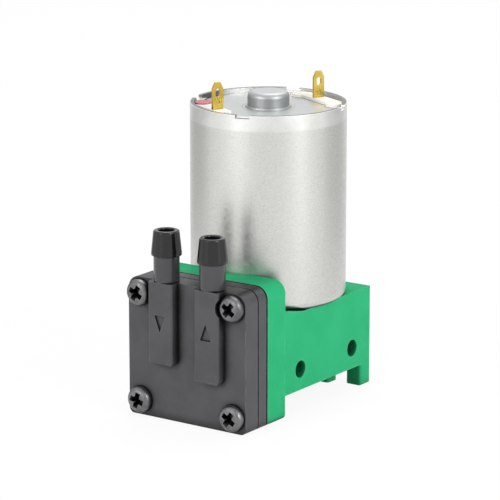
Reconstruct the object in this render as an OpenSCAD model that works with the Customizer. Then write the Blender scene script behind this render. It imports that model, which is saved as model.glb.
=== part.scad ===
// Mini diaphragm pump: a small brushed motor stands on a moulded pump body and works a
// rubber diaphragm through an eccentric, a ball bearing and a connecting rod.
// X runs across the head, Y from the head to the back, Z up along the motor shaft.
// The origin is under the middle of the pump, level with the flange's lower edge and the feet.

/* [Head] */
// Width of the head cover, valve plate and flange
head_w = 22; // [21:0.5:26]
// Height of the head cover, valve plate and flange
head_h = 22; // [21.5:0.5:26]
// Thickness of the head cover without its channels
cover_t = 3.2; // [3:0.1:5]
// Thickness of the valve plate
plate_t = 2.6; // [2.5:0.1:4]
// Thickness of the body's flange
flange_t = 4.7; // [4.4:0.1:7]
// Radius of the head's upper corners
top_corner_r = 2; // [0.5:0.1:2.4]
// Radius of the head's lower corners
low_corner_r = 0.9; // [0.3:0.1:2]
// Distance of the head screws from the head's sides
screw_edge_x = 2.3; // [2.2:0.05:2.6]
// Distance of the head screws from the head's top and bottom
screw_edge_z = 2.45; // [2.3:0.05:2.6]
// Diameter of a head screw's thread
screw_d = 2; // [1.4:0.1:2.2]
// Diameter of a head screw's head
screw_head_d = 4; // [3:0.1:4.2]
// Height of a head screw's head
screw_head_h = 1.5; // [1:0.1:2]
// Depth of the seat under a head screw's head
screw_seat = 0.35; // [0.1:0.05:0.8]
// Length of a head screw under its head
screw_l = 9.4; // [8:0.1:9.6]

/* [Ports] */
// Distance between the two hose ports
port_pitch = 8.6; // [8:0.1:9.2]
// Distance of the middle between the ports from the middle of the head
port_shift = 0.45; // [0:0.05:0.6]
// Distance of the port axes behind the cover's front face
port_inset = 0.2; // [0:0.05:0.4]
// Bore of the hose barbs and of the ducts in the cover
port_bore_d = 2.5; // [1.6:0.1:2.6]
// Outer diameter of a hose barb's stem
stem_d = 4; // [3.6:0.1:4.4]
// Length of a hose barb's stem up to the barb
stem_l = 4.1; // [3:0.1:8]
// Largest diameter of the barb
barb_d = 4.7; // [4.5:0.1:5.4]
// Diameter of the barb at its tip
barb_tip_d = 4.05; // [3.3:0.05:4.2]
// Length of the barb's cone
barb_l = 3.9; // [2:0.1:6]
// Depth to which a hose barb is set into the cover
spigot_l = 2; // [1:0.1:4]
// Width of the raised duct channels on the cover
channel_w = 4.6; // [4.2:0.1:5]
// Height of the channels above the cover's front face
channel_proud = 1.7; // [1.5:0.1:2.5]
// Length of the inlet channel from the top of the cover
inlet_channel_l = 13; // [12:0.1:15]
// Length of the outlet channel from the top of the cover
outlet_channel_l = 14.6; // [12:0.1:16]
// Width of the channels' rounded edges
channel_edge = 0.5; // [0.1:0.05:0.6]
// Radius of the corners at the channels' lower ends
channel_corner_r = 0.9; // [0.6:0.05:1.2]

/* [Pump chamber] */
// Radius of the pump chamber and of the diaphragm's free part
chamber_r = 5.9; // [5.4:0.1:6.1]
// Depth of the chamber in the valve plate
chamber_t = 1; // [0.9:0.05:1.1]
// Outer radius of the diaphragm
diaphragm_r = 8.2; // [7.8:0.1:8.6]
// Thickness of the diaphragm
diaphragm_t = 0.6; // [0.5:0.05:0.7]
// Radius of the two discs that hold the diaphragm's middle
disc_r = 3.2; // [2.8:0.1:3.3]
// Thickness of the clamp disc in the chamber
clamp_t = 0.6; // [0.4:0.05:0.65]
// Thickness of the connecting rod's disc behind the diaphragm
rod_disc_t = 1; // [0.8:0.1:1.1]
// Distance of each valve from the middle of the chamber
valve_x = 2.9; // [2.7:0.05:3.1]
// Radius of a valve's sealing disc
valve_r = 1.75; // [1.6:0.05:1.85]
// Thickness of a valve's sealing disc
valve_t = 0.35; // [0.25:0.05:0.4]
// Thickness of the web that the valves sit on
web_t = 1.1; // [0.9:0.05:1.2]
// Distance that a valve lifts off its seat
valve_lift = 0.3; // [0.2:0.05:0.32]

/* [Body] */
// Width of the crankcase block
block_w = 21.2; // [20.6:0.1:22]
// Length of the crankcase block behind the flange
block_l = 24.35; // [23.6:0.05:28]
// Height of the block's underside above the flange's lower edge
block_z = 3.5; // [2:0.1:4]
// Height of the block's top, on which the motor stands
seat_z = 16; // [15.7:0.1:17]
// Radius of the round crankcase chamber
case_r = 8.6; // [8.4:0.1:8.8]
// Thickness of the roof between the crankcase and the motor
roof_t = 1.8; // [1.6:0.05:1.9]
// Length of a rear foot
foot_l = 2.5; // [1.5:0.1:3]
// Width of a rear foot
foot_w = 2.9; // [2:0.1:4]
// Radius of the foot's upright edges
foot_r = 0.6; // [0.2:0.05:0.8]
// Thickness of the bottom cover
bottom_t = 1.4; // [1:0.1:2]
// Length and width of the bottom cover
bottom_w = 18.4; // [18:0.1:18.8]
// Length of the grip on the bottom cover
grip_l = 2.5; // [1.5:0.1:3.5]
// Height of the grip under the bottom cover
grip_h = 1.5; // [0.8:0.1:1.8]
// Diameter of the mounting holes in the block's sides
side_hole_d = 2.75; // [2:0.05:3]
// Depth of the mounting holes
side_hole_l = 3.2; // [2:0.1:3.3]
// Distance between the two mounting holes of a side
side_hole_pitch = 14.5; // [14.2:0.1:15]
// Distance of the middle between them behind the flange
side_hole_y = 12; // [11.8:0.1:12.3]
// Height of the mounting holes above the flange's lower edge
side_hole_z = 6.85; // [6.4:0.05:7.5]

/* [Drive] */
// Distance of the motor axis behind the flange
motor_setback = 11.2; // [11:0.1:11.3]
// Distance of the crank pin from the motor axis
throw = 0.8; // [0.5:0.05:0.85]
// Bore of the ball bearing
bearing_bore_d = 5; // [4.8:0.1:5.2]
// Outer diameter of the ball bearing
bearing_d = 9; // [8.8:0.1:9.2]
// Width of the ball bearing
bearing_w = 3; // [2.6:0.1:3.1]
// Number of balls
ball_count = 8; // [6:1:9]
// Diameter of a ball
ball_d = 1.2; // [1:0.05:1.3]
// Wall of the connecting rod's ring round the bearing
rod_wall = 1.5; // [1.2:0.1:1.8]
// Width of the connecting rod's shank
rod_w = 3.6; // [2.6:0.1:3.8]
// Radius of the counterweight
weight_r = 7.2; // [6:0.1:7.6]
// Thickness of the counterweight
weight_t = 1; // [0.7:0.05:1]

/* [Motor] */
// Diameter of the motor can
can_d = 24.4; // [24:0.1:24.8]
// Length of the motor can
can_h = 30.8; // [28:0.1:38]
// Wall of the motor can
can_wall = 0.7; // [0.6:0.05:1]
// Radius of the can's drawn edge round its lower end
can_edge_r = 1.2; // [0.8:0.05:1.5]
// Diameter of the motor shaft
shaft_d = 2; // [1.5:0.1:2.2]
// Diameter of the hub under the can
hub_d = 6.15; // [5.6:0.05:6.4]
// Height of the hub under the can
hub_h = 1.6; // [1:0.1:1.7]
// Distance between the two motor screws
motor_screw_span = 13; // [12:0.1:13.4]
// Diameter of a motor screw's thread
motor_screw_d = 2; // [1.6:0.1:2.2]
// Thickness of the magnets
magnet_t = 2.8; // [2.5:0.05:3]
// Length of the armature's laminated core
core_l = 11; // [8:0.5:13]
// Gap between the armature and the magnets
air_gap = 0.4; // [0.3:0.05:0.6]
// Length of the magnets
magnet_l = 18; // [14:0.5:19]
// Angle that each magnet spans
magnet_angle = 130; // [100:1:150]
// Diameter of the commutator
commutator_d = 5.2; // [4.6:0.1:5.6]
// Distance of the end bell below the can's rim
bell_recess = 0.8; // [0.4:0.05:1.2]
// Thickness of the end bell
bell_t = 1; // [0.8:0.05:1.4]
// Diameter of the bearing boss on the end bell
boss_d = 6.5; // [6.2:0.1:8]
// Height of the bearing boss
boss_h = 2.5; // [1.8:0.1:3.5]
// Width of the four crimps in the can's rim
crimp_w = 2.3; // [1.6:0.1:2.8]
// Angle of the first crimp from the X axis
crimp_angle = 15.7; // [13:0.1:17]
// Distance of each terminal inside the can's wall
terminal_inset = 2.3; // [2:0.1:2.6]
// Angle of the line through the terminals from the X axis
terminal_angle = 66.6; // [0:0.1:180]
// Width of a terminal
terminal_w = 1.9; // [1.5:0.1:2.2]
// Thickness of a terminal
terminal_t = 0.4; // [0.3:0.05:0.6]
// Height of a terminal above the end bell
terminal_h = 4.7; // [3.5:0.1:6]
// Thickness of the insulating washers
washer_t = 0.5; // [0.4:0.05:0.8]
// Width and height of a brush
brush_w = 1.8; // [1.4:0.1:2]

/* [Hidden] */
$fn = 64;

// Small amount by which a cut runs past the face that it opens
over = 0.5;
// Radial clearance of a shaft that runs in a hole
run_gap = 0.03;
// Clearance of a part that drops into its seat
seat_gap = 0.05;
// Clearance between parts that pass each other
pass_gap = 0.3;

// Front to back: the furthest reach of each end, and the faces between them
front_reach = max(channel_proud, barb_d / 2 - port_inset, screw_head_h - screw_seat);
rear_reach = max(block_l, motor_setback + can_d / 2);
total_l = front_reach + cover_t + plate_t + flange_t + rear_reach;
front_y = -total_l / 2 + front_reach;
plate_y = front_y + cover_t;
flange_y = plate_y + plate_t;
block_y = flange_y + flange_t;
back_y = block_y + block_l;
motor_y = block_y + motor_setback;
pin_y = motor_y - throw;
port_y = front_y + port_inset;
inlet_x = port_shift - port_pitch / 2;
outlet_x = port_shift + port_pitch / 2;
spigot_r = min(stem_d / 2 - 0.4, port_inset + channel_proud - 0.3);
seal_w = 0.9;
seal_t = 0.6;
seal_r = chamber_r + 1.2;
seal_y = plate_y - seal_t;

// Heights of the pump
axis_z = head_h / 2 + 0.05;
screw_span_x = head_w - 2 * screw_edge_x;
screw_span_z = head_h - 2 * screw_edge_z;
ceiling_z = seat_z - roof_t;
floor_z = block_z + bottom_t;

// The chamber, its valves and its diaphragm, from front to back
web_back = plate_y + web_t;
chamber_y = flange_y - chamber_t;
pocket_r = valve_r + 0.25;
room_r = valve_r + 0.35;
room_t = 2.2;
valve_stem_r = 0.45;
bulb_r = 0.75;
bulb_l = 0.4;
vent_r = 0.35;
vent_ring = 1.1;
bead_w = 0.9;
bead_t = 0.55;
fold_gap = 0.2;
fold_r = (chamber_r - disc_r - diaphragm_t) / 2 - fold_gap;
fold_ring = disc_r + fold_gap + fold_r + diaphragm_t / 2;
opening_t = 3;
rod_back = flange_y + diaphragm_t + rod_disc_t;
passage_r = disc_r + throw + pass_gap;
passage_y = flange_y + opening_t;
passage_end = motor_y - sqrt(pow(case_r, 2) - pow(passage_r, 2));

// The drive
bearing_r = bearing_d / 2;
pin_r = bearing_bore_d / 2;
ball_r = ball_d / 2;
ball_ring = (bearing_r + pin_r) / 2;
ring_wall = 0.55;
clamp_screw_r = disc_r / 4;
clamp_screw_l = 5;
rod_h = bearing_w + 0.2;
rod_ring_r = bearing_r + rod_wall;
bearing_low = axis_z - bearing_w / 2;
bearing_top = axis_z + bearing_w / 2;
weight_z = ceiling_z - pass_gap - weight_t;
lip_t = 0.5;
shaft_r = shaft_d / 2;
shaft_low = bearing_low - lip_t + 0.2;

// The motor
can_r = can_d / 2;
can_in = can_r - can_wall;
rim_z = seat_z + can_h;
bell_z = rim_z - bell_recess;
hub_r = hub_d / 2;
bush_r = 2 * shaft_r;
bush_low = seat_z - hub_h;
bush_top = seat_z + can_wall + 1.2;
magnet_in = can_in - magnet_t;
armature_r = magnet_in - air_gap;
motor_screw_r = motor_screw_d / 2;
motor_screw_head_r = 1.8 * motor_screw_r;
terminal_r = can_in - terminal_inset;
magnet_z = bush_top + 0.8;
core_z = magnet_z + (magnet_l - core_l) / 2;
coil_over = 2.4;
shoe_t = 1;
arm_w = 2.8;
core_hub_r = 3.2;
commutator_r = commutator_d / 2;
commutator_l = 4.5;
commutator_z = core_z + core_l + coil_over + 0.8;
boss_r = boss_d / 2;
rear_bush_low = bell_z - bell_t;
rear_bush_top = bell_z + boss_h - 0.5;
board_t = 1.4;
board_z = bell_z - bell_t - board_t;
terminal_top = bell_z + terminal_h;
crimp_depth = 0.55;
lip_l = 0.9;
lobe_r = 0.12 * can_in;
lobe_ring = 0.755 * can_in;
lobe_near = 0.36 * can_in;
lobe_far = 0.46 * can_in;
slot_l = terminal_w + 0.5;
slot_w = terminal_t + 0.8;
arm_t = 0.3;
brush_l = 1.3;
brush_z = commutator_z + commutator_l / 2;

// Colours
green = [0.24, 0.73, 0.51];
black = [0.22, 0.22, 0.23];
rubber = [0.12, 0.12, 0.12];
steel = [0.62, 0.62, 0.64];
dark_steel = [0.35, 0.35, 0.37];
brass = [0.80, 0.63, 0.24];
copper = [0.72, 0.42, 0.25];
white = [0.92, 0.91, 0.88];
cream = [0.90, 0.86, 0.72];
grey = [0.58, 0.59, 0.60];

// Flat outline of the head: a square with larger radii at its upper corners
module head_outline(grow = 0) {
    w = head_w + 2 * grow;
    union() {
        translate([-w / 2, low_corner_r])
            square([w, head_h - low_corner_r - top_corner_r]);
        translate([-w / 2 + low_corner_r, 0])
            square([w - 2 * low_corner_r, head_h / 2]);
        translate([-w / 2 + top_corner_r, head_h / 2])
            square([w - 2 * top_corner_r, head_h / 2]);
        for (side = [-1, 1]) {
            translate([side * (w / 2 - low_corner_r), low_corner_r]) circle(low_corner_r);
            translate([side * (w / 2 - top_corner_r), head_h - top_corner_r])
                circle(top_corner_r);
        }
    }
}

// Rectangle about its own middle with round corners
module round_rect(w, l, r) {
    union() {
        translate([-w / 2, -l / 2 + r]) square([w, l - 2 * r]);
        translate([-w / 2 + r, -l / 2]) square([w - 2 * r, l]);
        for (x = [-1, 1], y = [-1, 1])
            translate([x * (w / 2 - r), y * (l / 2 - r)]) circle(r);
    }
}

// Slab of the head, from the plane y over a thickness t
module head_slab(y, t) {
    translate([0, y + t, 0]) rotate([90, 0, 0]) linear_extrude(t) head_outline();
}

// Cylinder along Y, from the plane y over a length l
module along_y(x, y, z, r, l) {
    translate([x, y + l, z]) rotate([90, 0, 0]) cylinder(r = r, h = l);
}

// Ring along Y
module ring_y(x, y, z, r_out, r_in, l) {
    difference() {
        along_y(x, y, z, r_out, l);
        along_y(x, y - over, z, r_in, l + 2 * over);
    }
}

// What stands at the four head screws
module at_head_screws() {
    for (x = [-1, 1], z = [-1, 1])
        translate([x * screw_span_x / 2, 0, axis_z + z * screw_span_z / 2]) children();
}

// What stands on the motor axis
module at_motor(z = 0) {
    translate([0, motor_y, z]) children();
}

// What stands on the crank pin's axis
module at_pin(z = 0) {
    translate([0, pin_y, z]) children();
}

module screw_holes(y, l) {
    at_head_screws() along_y(0, y, 0, screw_d / 2, l);
}

// Moulded body: the flange, the crankcase block, the can's seat and the two rear feet
module pump_body() {
    color(green) difference() {
        union() {
            head_slab(flange_y, flange_t);
            translate([-block_w / 2, block_y - over, block_z])
                cube([block_w, block_l + over, seat_z - block_z]);
            for (side = [-1, 1]) rear_foot(side);
        }
        crankcase_hollow();
        flange_hollow();
        at_motor(seat_z) cylinder(r = can_r + seat_gap, h = head_h);
        at_motor(ceiling_z - over) cylinder(r = hub_r + seat_gap, h = roof_t + 2 * over);
        motor_screw_holes();
        side_holes();
        translate([0, motor_y, block_z - over])
            linear_extrude(bottom_t + over) round_rect(bottom_w, bottom_w, 1.5);
    }
}

// Foot under a rear corner of the block, with its front edges and its lower edges rounded
module rear_foot(side) {
    edge = foot_r / 2;
    x_out = block_w / 2 - foot_w / 2;
    translate([side * x_out, back_y, 0]) intersection() {
        linear_extrude(block_z + over) union() {
            translate([-foot_w / 2, foot_r - foot_l]) square([foot_w, foot_l - foot_r]);
            translate([foot_r - foot_w / 2, -foot_l]) square([foot_w - 2 * foot_r, foot_l]);
            for (x = [-1, 1]) translate([x * (foot_w / 2 - foot_r), foot_r - foot_l]) circle(foot_r);
        }
        rotate([90, 0, 0]) linear_extrude(foot_l) union() {
            translate([-foot_w / 2, edge]) square([foot_w, block_z + over - edge]);
            translate([-foot_w / 2 + edge, 0]) square([foot_w - 2 * edge, block_z]);
            for (x = [-1, 1]) translate([x * (foot_w / 2 - edge), edge]) circle(edge);
        }
    }
}

module crankcase_hollow() {
    at_motor(block_z) cylinder(r = case_r, h = ceiling_z - block_z);
    along_y(0, passage_y - over, axis_z, passage_r, passage_end - passage_y + 2 * over);
}

module flange_hollow() {
    along_y(0, flange_y - over, axis_z, diaphragm_r + seat_gap, diaphragm_t + over);
    ring_y(0, flange_y, axis_z, diaphragm_r + seat_gap, diaphragm_r - bead_w - seat_gap,
           diaphragm_t + bead_t + seat_gap);
    along_y(0, flange_y, axis_z, chamber_r, opening_t);
    screw_holes(flange_y - over, screw_l + screw_seat - cover_t - plate_t + 2 * over);
}

module motor_screw_holes() {
    for (side = [-1, 1]) at_motor() translate([side * motor_screw_span / 2, 0, 0]) {
        translate([0, 0, ceiling_z - over]) cylinder(r = motor_screw_r + seat_gap, h = roof_t + 2 * over);
        translate([0, 0, ceiling_z]) cylinder(
            r1 = motor_screw_head_r + seat_gap, r2 = motor_screw_r + seat_gap, h = 0.8 + seat_gap);
    }
}

module side_holes() {
    for (side = [-1, 1], n = [-1, 1])
        translate([side * block_w / 2, block_y + side_hole_y + n * side_hole_pitch / 2, side_hole_z])
            rotate([0, -side * 90, 0]) translate([0, 0, -over])
                cylinder(r = side_hole_d / 2, h = side_hole_l + over);
}

// Plate that closes the crankcase from below, with a plug ring and a grip across it
module bottom_cover() {
    plug_wall = 1;
    plug_h = 1.2;
    color(green) union() {
        translate([0, motor_y, block_z])
            linear_extrude(bottom_t) round_rect(bottom_w - 2 * seat_gap, bottom_w - 2 * seat_gap, 1.5);
        at_motor(floor_z) difference() {
            cylinder(r = case_r - seat_gap, h = plug_h);
            cylinder(r = case_r - plug_wall, h = plug_h + over);
        }
        translate([0, motor_y + bottom_w / 4, block_z - grip_h])
            linear_extrude(grip_h) round_rect(bottom_w, grip_l, 0.4);
    }
}

// Plate between the cover and the diaphragm, with the chamber and the two valve seats
module valve_plate() {
    color(black) difference() {
        head_slab(plate_y, plate_t);
        along_y(0, chamber_y, axis_z, chamber_r, chamber_t + over);
        for (side = [-1, 1]) {
            along_y(side * valve_x, web_back, axis_z, pocket_r, plate_t);
            along_y(side * valve_x, plate_y - over, axis_z, valve_stem_r + seat_gap, plate_t);
            for (turn = [45:90:315])
                along_y(side * valve_x + vent_ring * cos(turn), plate_y - over,
                        axis_z + vent_ring * sin(turn), vent_r, plate_t);
        }
        screw_holes(plate_y - over, plate_t + 2 * over);
    }
}

// Raised channel on the cover's front, with rounded edges and a rounded lower end
module channel(x, l) {
    r = channel_edge;
    corner = channel_corner_r;
    reach = cover_t / 2;
    translate([x, 0, head_h - l]) difference() {
        intersection() {
            linear_extrude(l) translate([0, front_y]) union() {
                translate([-channel_w / 2, -channel_proud + r])
                    square([channel_w, channel_proud + reach - r]);
                translate([-channel_w / 2 + r, -channel_proud])
                    square([channel_w - 2 * r, channel_proud + reach]);
                for (side = [-1, 1])
                    translate([side * (channel_w / 2 - r), -channel_proud + r]) circle(r);
            }
            translate([0, front_y + cover_t, 0]) rotate([90, 0, 0])
                linear_extrude(cover_t + channel_proud + over) union() {
                    translate([-channel_w / 2, corner]) square([channel_w, l - corner]);
                    translate([-channel_w / 2 + corner, 0]) square([channel_w - 2 * corner, l]);
                    for (side = [-1, 1])
                        translate([side * (channel_w / 2 - corner), corner]) circle(corner);
                }
        }
        translate([0, front_y - channel_proud, 0]) rotate([45, 0, 0])
            cube([channel_w + over, r, r], center = true);
    }
}

// Front cover with the ducts from the hose barbs to the valve rooms
module head_cover() {
    duct_l = head_h - axis_z + 1;
    color(black) difference() {
        union() {
            head_slab(front_y, cover_t);
            channel(inlet_x, inlet_channel_l);
            channel(outlet_x, outlet_channel_l);
        }
        for (x = [inlet_x, outlet_x]) translate([x, port_y, 0]) {
            translate([0, 0, head_h - duct_l]) cylinder(r = port_bore_d / 2, h = duct_l + over);
            translate([0, 0, head_h - spigot_l - seat_gap])
                cylinder(r = spigot_r + seat_gap, h = spigot_l + 1);
        }
        for (side = [-1, 1])
            along_y(side * valve_x, plate_y - room_t, axis_z, room_r, room_t + over);
        at_head_screws() along_y(0, front_y - front_reach - over, 0, screw_head_d / 2 + 0.15,
                                 front_reach + screw_seat + over);
        screw_holes(front_y - over, cover_t + 2 * over);
        translate([0, seal_y, 0]) seal_shape(seal_w + 2 * seat_gap, seal_t + over);
    }
}

// Ring with a bar across its middle, which parts the inlet from the outlet
module seal_shape(w, t) {
    union() {
        ring_y(0, 0, axis_z, seal_r + w / 2, seal_r - w / 2, t);
        translate([-w / 2, 0, axis_z - seal_r]) cube([w, t, 2 * seal_r]);
    }
}

module cover_seal() {
    color(rubber) translate([0, seal_y, 0]) seal_shape(seal_w, seal_t);
}

// Pan head screw along Y with a cross recess, its head at y = 0 and its thread behind
module pan_screw() {
    r = screw_head_d / 2;
    dome = 0.7;
    recess_w = 0.55;
    difference() {
        union() {
            rotate([90, 0, 0]) rotate_extrude() intersection() {
                translate([0, 0]) square([r, screw_head_h]);
                union() {
                    square([r, screw_head_h - dome]);
                    translate([0, screw_head_h - dome]) square([r - dome, dome]);
                    translate([r - dome, screw_head_h - dome]) circle(dome);
                }
            }
            rotate([-90, 0, 0]) cylinder(r = screw_d / 2 - seat_gap / 2, h = screw_l);
        }
        for (turn = [0, 90]) rotate([0, turn, 0])
            translate([-r * 0.55, -screw_head_h - over, -recess_w / 2])
                cube([r * 1.1, 0.9 + over, recess_w]);
    }
}

module head_screws() {
    color(dark_steel) at_head_screws() translate([0, front_y + screw_seat, 0]) pan_screw();
}

// Hose barb that stands in the top of a channel
module hose_barb(x) {
    stem_r = stem_d / 2;
    tip_z = stem_l + barb_l;
    color(black) translate([x, port_y, head_h]) rotate_extrude() polygon([
        [port_bore_d / 2, -spigot_l], [spigot_r, -spigot_l], [spigot_r, 0],
        [stem_r, 0], [stem_r, stem_l], [barb_d / 2, stem_l],
        [barb_d / 2, stem_l + 0.4], [barb_tip_d / 2, tip_z - 0.15],
        [barb_tip_d / 2 - 0.15, tip_z], [port_bore_d / 2, tip_z]
    ]);
}

module inlet_barb() {
    hose_barb(inlet_x);
}

module outlet_barb() {
    hose_barb(outlet_x);
}

// Umbrella valve: sealing disc at y = 0, its stem through the web and a bulb behind it
module umbrella_valve() {
    stem_l = web_t + valve_lift + run_gap;
    color(rubber) union() {
        along_y(0, 0, 0, valve_r, valve_t);
        along_y(0, -stem_l, 0, valve_stem_r, stem_l + valve_t / 2);
        along_y(0, -stem_l - bulb_l, 0, bulb_r, bulb_l);
    }
}

module inlet_valve() {
    translate([-valve_x, web_back, axis_z]) umbrella_valve();
}

module outlet_valve() {
    translate([valve_x, plate_y, axis_z]) mirror([0, 1, 0]) umbrella_valve();
}

// Rubber diaphragm with a clamped bead, a rolled fold and a flat middle
module diaphragm() {
    half = diaphragm_t / 2;
    outer_in = fold_ring + fold_r - half;
    color(rubber) translate([0, flange_y, axis_z]) rotate([-90, 0, 0]) difference() {
        rotate_extrude() union() {
            square([fold_ring - fold_r + half, diaphragm_t]);
            translate([outer_in, 0]) square([diaphragm_r - outer_in, diaphragm_t]);
            translate([diaphragm_r - bead_w, 0]) square([bead_w, diaphragm_t + bead_t]);
            translate([fold_ring, half]) intersection() {
                difference() {
                    circle(fold_r + half);
                    circle(fold_r - half);
                }
                translate([-2 * fold_r, 0]) square([4 * fold_r, 2 * fold_r]);
            }
        }
        translate([0, 0, -over]) cylinder(r = clamp_screw_r + seat_gap, h = diaphragm_t + 2 * over);
    }
}

// Disc that clamps the diaphragm's middle from the chamber side
module clamp_disc() {
    color(steel) translate([0, flange_y - clamp_t, axis_z]) rotate([-90, 0, 0]) difference() {
        cylinder(r = disc_r, h = clamp_t);
        translate([0, 0, -over]) cylinder(r = clamp_screw_r + seat_gap, h = clamp_t + 2 * over);
        cylinder(r1 = 1.9 * clamp_screw_r, r2 = clamp_screw_r + seat_gap, h = 0.5);
    }
}

// Countersunk screw through the clamp disc into the rod
module clamp_screw() {
    color(dark_steel) translate([0, flange_y - clamp_t, axis_z]) rotate([-90, 0, 0]) difference() {
        union() {
            cylinder(r1 = 1.9 * clamp_screw_r - seat_gap, r2 = clamp_screw_r, h = 0.5 - seat_gap);
            cylinder(r = clamp_screw_r, h = clamp_screw_l);
        }
        for (turn = [0, 90]) rotate([0, 0, turn]) cube([1.6, 0.35, 0.5], center = true);
    }
}

// Rod with the diaphragm's rear disc at one end and the bearing's ring at the other
module connecting_rod() {
    shank_l = pin_y - rod_back - bearing_r;
    web_h = 1.4;
    rail = 0.8;
    pocket_y = 1.6;
    color(grey) difference() {
        union() {
            along_y(0, flange_y + diaphragm_t, axis_z, disc_r, rod_disc_t);
            translate([-rod_w / 2, rod_back - over / 2, axis_z - rod_h / 2])
                cube([rod_w, shank_l, rod_h]);
            at_pin(axis_z - rod_h / 2) cylinder(r = rod_ring_r, h = rod_h);
            along_y(0, rod_back - over / 2, axis_z, rod_w / 2, 1.5);
        }
        at_pin(axis_z - bearing_w / 2 - seat_gap) cylinder(r = bearing_r, h = rod_h);
        at_pin(axis_z - rod_h / 2 - over) cylinder(r = bearing_r - 0.3, h = rod_h);
        for (side = [-1, 1])
            translate([-rod_w / 2 + rail, rod_back + pocket_y,
                       axis_z + side * (web_h + rod_h) / 2 - rod_h / 2])
                cube([rod_w - 2 * rail, shank_l - rod_wall - pocket_y - 0.6, rod_h]);
        along_y(0, flange_y, axis_z, clamp_screw_r, clamp_screw_l - clamp_t + 0.1);
    }
}

// Ring of the ball bearing between two radii with a ball groove
module bearing_ring(r_in, r_out) {
    color(steel) at_pin(axis_z) difference() {
        rotate_extrude() difference() {
            translate([r_in, -bearing_w / 2]) square([r_out - r_in, bearing_w]);
            translate([ball_ring, 0]) circle(ball_r + run_gap);
        }
    }
}

module bearing_outer_ring() {
    bearing_ring(bearing_r - ring_wall, bearing_r);
}

module bearing_inner_ring() {
    bearing_ring(pin_r, pin_r + ring_wall);
}

module bearing_balls() {
    color(steel) at_pin(axis_z)
        for (n = [0:ball_count - 1]) rotate([0, 0, n * 360 / ball_count])
            translate([ball_ring, 0, 0]) sphere(ball_r);
}

// Ribbon cage that keeps the balls apart
module bearing_cage() {
    cage_w = 0.4;
    cage_h = ball_d + 0.4;
    color(brass) at_pin(axis_z) difference() {
        translate([0, 0, -cage_h / 2]) cylinder(r = ball_ring + cage_w / 2, h = cage_h);
        translate([0, 0, -cage_h]) cylinder(r = ball_ring - cage_w / 2, h = 2 * cage_h);
        for (n = [0:ball_count - 1]) rotate([0, 90, n * 360 / ball_count])
            cylinder(r = ball_r + run_gap, h = bearing_r);
    }
}

// Eccentric on the motor shaft: journal, lips for the inner ring, and counterweight
module eccentric() {
    lip_r = pin_r + ring_wall - 0.15;
    color(brass) difference() {
        union() {
            at_pin(bearing_low) cylinder(r = pin_r, h = bearing_w);
            at_pin(bearing_low - lip_t) cylinder(r = lip_r, h = lip_t);
            at_pin(bearing_top) cylinder(r = lip_r, h = weight_z - bearing_top);
            at_motor(weight_z) linear_extrude(weight_t) union() {
                circle(shaft_r + 1.6);
                intersection() {
                    circle(weight_r);
                    polygon([[0, 0], [weight_r * 1.2, weight_r * 0.5], [weight_r * 1.2, weight_r * 1.5],
                             [-weight_r * 1.2, weight_r * 1.5], [-weight_r * 1.2, weight_r * 0.5]]);
                }
            }
        }
        at_motor(0) cylinder(r = shaft_r, h = seat_z);
    }
}

module motor_shaft() {
    color(steel) at_motor(shaft_low) cylinder(r = shaft_r, h = rear_bush_top - 0.2 - shaft_low);
}

// What stands at the four crimps, turned so that X points outwards
module at_crimps() {
    for (turn = [0:90:270]) rotate([0, 0, crimp_angle + turn]) children();
}

// Drawn steel can with a rounded lower edge, the hub for its bearing and four crimps in its rim
module motor_can() {
    r = can_edge_r;
    color(steel) union() {
        at_motor(bell_z) at_crimps() translate([can_in - lip_l, -crimp_w / 2, 0])
            cube([lip_l + can_wall / 2, crimp_w, bell_recess - crimp_depth + 0.15]);
        can_shell(r);
    }
}

module can_shell(r) {
    at_motor(seat_z) difference() {
        union() {
            rotate_extrude() union() {
                translate([0, r]) square([can_r, can_h - r]);
                square([can_r - r, r]);
                translate([can_r - r, r]) circle(r);
            }
            translate([0, 0, -hub_h]) cylinder(r = hub_r, h = hub_h + over);
        }
        difference() {
            translate([0, 0, can_wall]) cylinder(r = can_in, h = can_h);
            cylinder(r = bush_r + 0.8, h = bush_top - seat_z);
        }
        translate([0, 0, -hub_h - over]) cylinder(r = bush_r, h = can_h);
        for (side = [-1, 1]) translate([side * motor_screw_span / 2, 0, -over])
            cylinder(r = motor_screw_r, h = can_wall + 2 * over);
        translate([0, 0, can_h - crimp_depth]) at_crimps()
            translate([can_in - over, -crimp_w / 2, 0]) cube([can_wall + 2 * over, crimp_w, can_h]);
    }
}

// Two countersunk screws through the crankcase roof into the can
module motor_screws() {
    color(dark_steel) for (side = [-1, 1])
        at_motor(ceiling_z) translate([side * motor_screw_span / 2, 0, 0]) difference() {
            union() {
                cylinder(r1 = motor_screw_head_r, r2 = motor_screw_r, h = 0.8);
                cylinder(r = motor_screw_r, h = roof_t + can_wall + 0.4);
            }
            for (turn = [0, 90]) rotate([0, 0, turn]) cube([2, 0.45, 0.9], center = true);
        }
}

module drive_end_bearing() {
    color(brass) at_motor(bush_low) difference() {
        cylinder(r = bush_r, h = bush_top - bush_low);
        translate([0, 0, -over]) cylinder(r = shaft_r + run_gap, h = bush_top);
    }
}

// Sector of a ring about the origin, as a flat outline
module arc_outline(r_in, r_out, angle) {
    reach = r_out * 2;
    half = angle / 2;
    difference() {
        intersection() {
            circle(r_out);
            polygon([[0, 0], [reach * cos(half), -reach * sin(half)], [reach, -reach * sin(half)],
                     [reach, reach * sin(half)], [reach * cos(half), reach * sin(half)]]);
        }
        circle(r_in);
    }
}

module magnets() {
    color(dark_steel) at_motor(magnet_z) linear_extrude(magnet_l) for (turn = [90, 270])
        rotate(turn) arc_outline(magnet_in, can_in, magnet_angle);
}

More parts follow.
